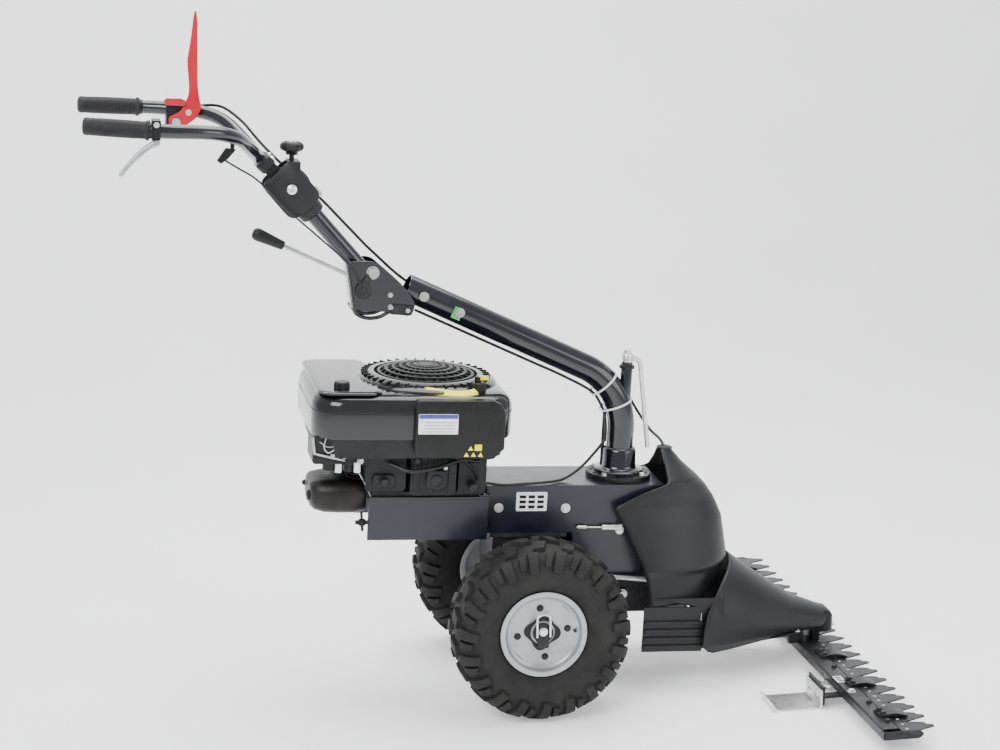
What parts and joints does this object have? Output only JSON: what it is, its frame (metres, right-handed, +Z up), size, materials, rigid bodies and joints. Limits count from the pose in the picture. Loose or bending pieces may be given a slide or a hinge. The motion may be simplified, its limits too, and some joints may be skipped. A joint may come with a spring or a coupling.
{
  "type": "brush mower",
  "caption": "Walk-behind brush mower: two wheels, flat engine, steering column with a height-set handlebar, and a reciprocating cutter bar across the front.",
  "frame": {"origin": "on the ground, under the middle of the machine's bounding box", "axes": "+X forward, towards the cutter bar; +Y to the machine's left; +Z up"},
  "size_m": [1.5554, 1.1176, 1.372],
  "materials": {
    "tyre": "matte black rubber with a deep block tread",
    "rim": "silver-grey painted steel",
    "zinc": "zinc plated, bright",
    "bright_steel": "plain steel",
    "gear_casing": "cast, dark grey",
    "frame_paint": "black paint with a faint blue cast, satin",
    "tube_paint": "gloss black paint",
    "belt_rubber": "matte rubber",
    "engine_alloy": "cast, grey",
    "black_plastic": "satin moulded black",
    "dark_steel": "black, satin",
    "cast_iron": "cast, dark",
    "bar_steel": "black paint, worn at the edges",
    "cable_sheath": "black sheath",
    "grip_rubber": "ribbed black rubber",
    "red_paint": "gloss red",
    "lever_alloy": "cast, light grey"
  },
  "bodies": {
    "chassis": {"axle_shaft": "bright_steel", "transmission_case": "gear_casing", "frame_shell": "frame_paint", "engine_deck": "frame_paint", "front_gearbox": "gear_casing", "drive_belt": "belt_rubber", "crankcase": "engine_alloy", "engine_shroud": "black_plastic", "cooling_grille": "black_plastic", "air_filter_cover": "black_plastic", "muffler": "dark_steel", "swivel_ring": "dark_steel", "hood": "black_plastic", "lower_apron": "black_plastic", "bar_guard": "black_plastic", "bar_carrier": "cast_iron", "bar_beam": "bar_steel", "finger_comb": "bar_steel", "knife_clamp_rail": "bar_steel", "clutch_cable_hood": "cable_sheath", "throttle_cable_engine": "cable_sheath"},
    "left_wheel": {"tyre_left": "tyre", "wheel_left": "rim"},
    "right_wheel": {"tyre_right": "tyre", "wheel_right": "rim"},
    "left_hub_latch": {"hub_latch_left": "zinc"},
    "right_hub_latch": {"hub_latch_right": "zinc"},
    "engine_crank": {"crankshaft_pulley": "bright_steel"},
    "gearbox_input": {"driven_pulley": "bright_steel"},
    "belt_tensioner": {"tensioner_arm": "bright_steel"},
    "fuel_tank_cap": {"fuel_cap": "black_plastic"},
    "column": {"column_collar": "tube_paint", "column_tube": "tube_paint", "handle_tube": "tube_paint", "control_bracket": "tube_paint", "hinge_fork": "black_plastic", "hinge_bolt": "zinc", "clutch_cable_column": "cable_sheath", "throttle_cable_column": "cable_sheath"},
    "swivel_lock": {"lock_lever": "zinc"},
    "gear_selector": {"gear_rod": "bright_steel", "gear_grip": "black_plastic"},
    "height_knob": {"clamp_knob": "black_plastic"},
    "handlebar": {"hinge_hub": "black_plastic", "handle_arm_left": "tube_paint", "handle_arm_right": "tube_paint", "grip_left": "grip_rubber", "grip_right": "grip_rubber", "clutch_bracket": "black_plastic", "drive_lever_bracket": "black_plastic", "clutch_cable_upper": "cable_sheath", "reverse_cable": "cable_sheath"},
    "blade_clutch": {"clutch_lever": "red_paint"},
    "clutch_pawl": {"lock_pawl": "red_paint"},
    "drive_clutch": {"drive_lever": "lever_alloy"},
    "reverse_control": {"reverse_lever": "black_plastic"},
    "knife_bar": {"knife": "bar_steel"},
    "knife_rocker": {"drive_arm": "bright_steel"},
    "left_skid": {"skid_left": "zinc"},
    "right_skid": {"skid_right": "zinc"}
  },
  "joints": [
    {"name": "wheel_left_spin", "type": "hinge", "parent": "chassis", "child": "left_wheel", "pos_m": [0.07103, 0.217, 0.1803], "axis": [0, 1, 0], "continuous": true},
    {"name": "wheel_right_spin", "type": "hinge", "parent": "chassis", "child": "right_wheel", "pos_m": [0.07103, -0.217, 0.1803], "axis": [0, 1, 0], "continuous": true},
    {"name": "hub_latch_left_pull", "type": "slide", "parent": "left_wheel", "child": "left_hub_latch", "axis": [0, 1, 0], "range_m": [0, 0.008]},
    {"name": "hub_latch_right_pull", "type": "slide", "parent": "right_wheel", "child": "right_hub_latch", "axis": [0, -1, 0], "range_m": [0, 0.008]},
    {"name": "engine_crank_spin", "type": "hinge", "parent": "chassis", "child": "engine_crank", "pos_m": [-0.13119, 0, 0.38016], "axis": [0.0523, 0, 0.9986], "continuous": true},
    {"name": "gearbox_input_spin", "type": "hinge", "parent": "chassis", "child": "gearbox_input", "pos_m": [0.13585, 0, 0.36616], "axis": [0.0523, 0, 0.9986], "continuous": true},
    {"name": "belt_tensioner_swing", "type": "hinge", "parent": "chassis", "child": "belt_tensioner", "pos_m": [-0.18782, 0.078, 0.40015], "axis": [0.0523, 0, 0.9986], "range_deg": [-3.2, 0]},
    {"name": "fuel_cap_turn", "type": "hinge", "parent": "chassis", "child": "fuel_tank_cap", "pos_m": [-0.3006, -0.11, 0.6557], "axis": [0.0523, 0, 0.9986], "range_deg": [0, 180]},
    {"name": "column_swivel", "type": "hinge", "parent": "chassis", "child": "column", "pos_m": [0.2845, 0, 0.43207], "axis": [0.0523, 0, 0.9986], "range_deg": [-30, 30]},
    {"name": "swivel_lock_turn", "type": "hinge", "parent": "column", "child": "swivel_lock", "pos_m": [0.301, 0, 0.66092], "axis": [0.0523, 0, 0.9986], "range_deg": [-70, 0]},
    {"name": "gear_selector_slide", "type": "slide", "parent": "column", "child": "gear_selector", "axis": [0.8991, 0, -0.4377], "range_m": [-0.025, 0.025]},
    {"name": "height_knob_turn", "type": "hinge", "parent": "column", "child": "height_knob", "pos_m": [-0.37721, 0, 1.09321], "axis": [0.0523, 0, 0.9986], "range_deg": [-180, 180]},
    {"name": "handlebar_height", "type": "hinge", "parent": "column", "child": "handlebar", "pos_m": [-0.38099, 0, 1.04004], "axis": [0, 1, 0], "range_deg": [-20, 16]},
    {"name": "blade_clutch_swing", "type": "hinge", "parent": "handlebar", "child": "blade_clutch", "pos_m": [-0.58746, 0.1585, 1.1531], "axis": [0, -1, 0], "range_deg": [0, 70], "stiffness_Nm_per_rad": 0.8},
    {"name": "clutch_pawl_swing", "type": "hinge", "parent": "blade_clutch", "child": "clutch_pawl", "pos_m": [-0.57246, 0.153, 1.19086], "axis": [0, -1, 0], "range_deg": [0, 20], "stiffness_Nm_per_rad": 0.1},
    {"name": "drive_clutch_squeeze", "type": "hinge", "parent": "handlebar", "child": "drive_clutch", "pos_m": [-0.64522, -0.204, 1.15913], "axis": [0, -1, 0], "range_deg": [-20, 0], "stiffness_Nm_per_rad": 0.5},
    {"name": "reverse_control_swing", "type": "hinge", "parent": "handlebar", "child": "reverse_control", "pos_m": [-0.5021, -0.125, 1.1291], "axis": [0, -1, 0], "range_deg": [-20, 20], "stiffness_Nm_per_rad": 0.1},
    {"name": "knife_stroke", "type": "slide", "parent": "chassis", "child": "knife_bar", "axis": [0, 1, 0], "range_m": [-0.0254, 0.0254]},
    {"name": "knife_rocker_swing", "type": "hinge", "parent": "chassis", "child": "knife_rocker", "pos_m": [0.63103, 0, 0.0475], "axis": [0, 0, 1], "range_deg": [-17, 17]},
    {"name": "left_skid_height", "type": "slide", "parent": "chassis", "child": "left_skid", "axis": [0, 0, 1], "range_m": [0, 0.015]},
    {"name": "right_skid_height", "type": "slide", "parent": "chassis", "child": "right_skid", "axis": [0, 0, 1], "range_m": [0, 0.015]}
  ],
  "couplings": [
    {"joint": "gearbox_input_spin", "follows": "engine_crank_spin", "ratio": 0.6303},
    {"joint": "belt_tensioner_swing", "follows": "blade_clutch_swing", "ratio": -0.045714},
    {"joint": "knife_rocker_swing", "follows": "knife_stroke", "rad_per_m": 11.364}
  ]
}
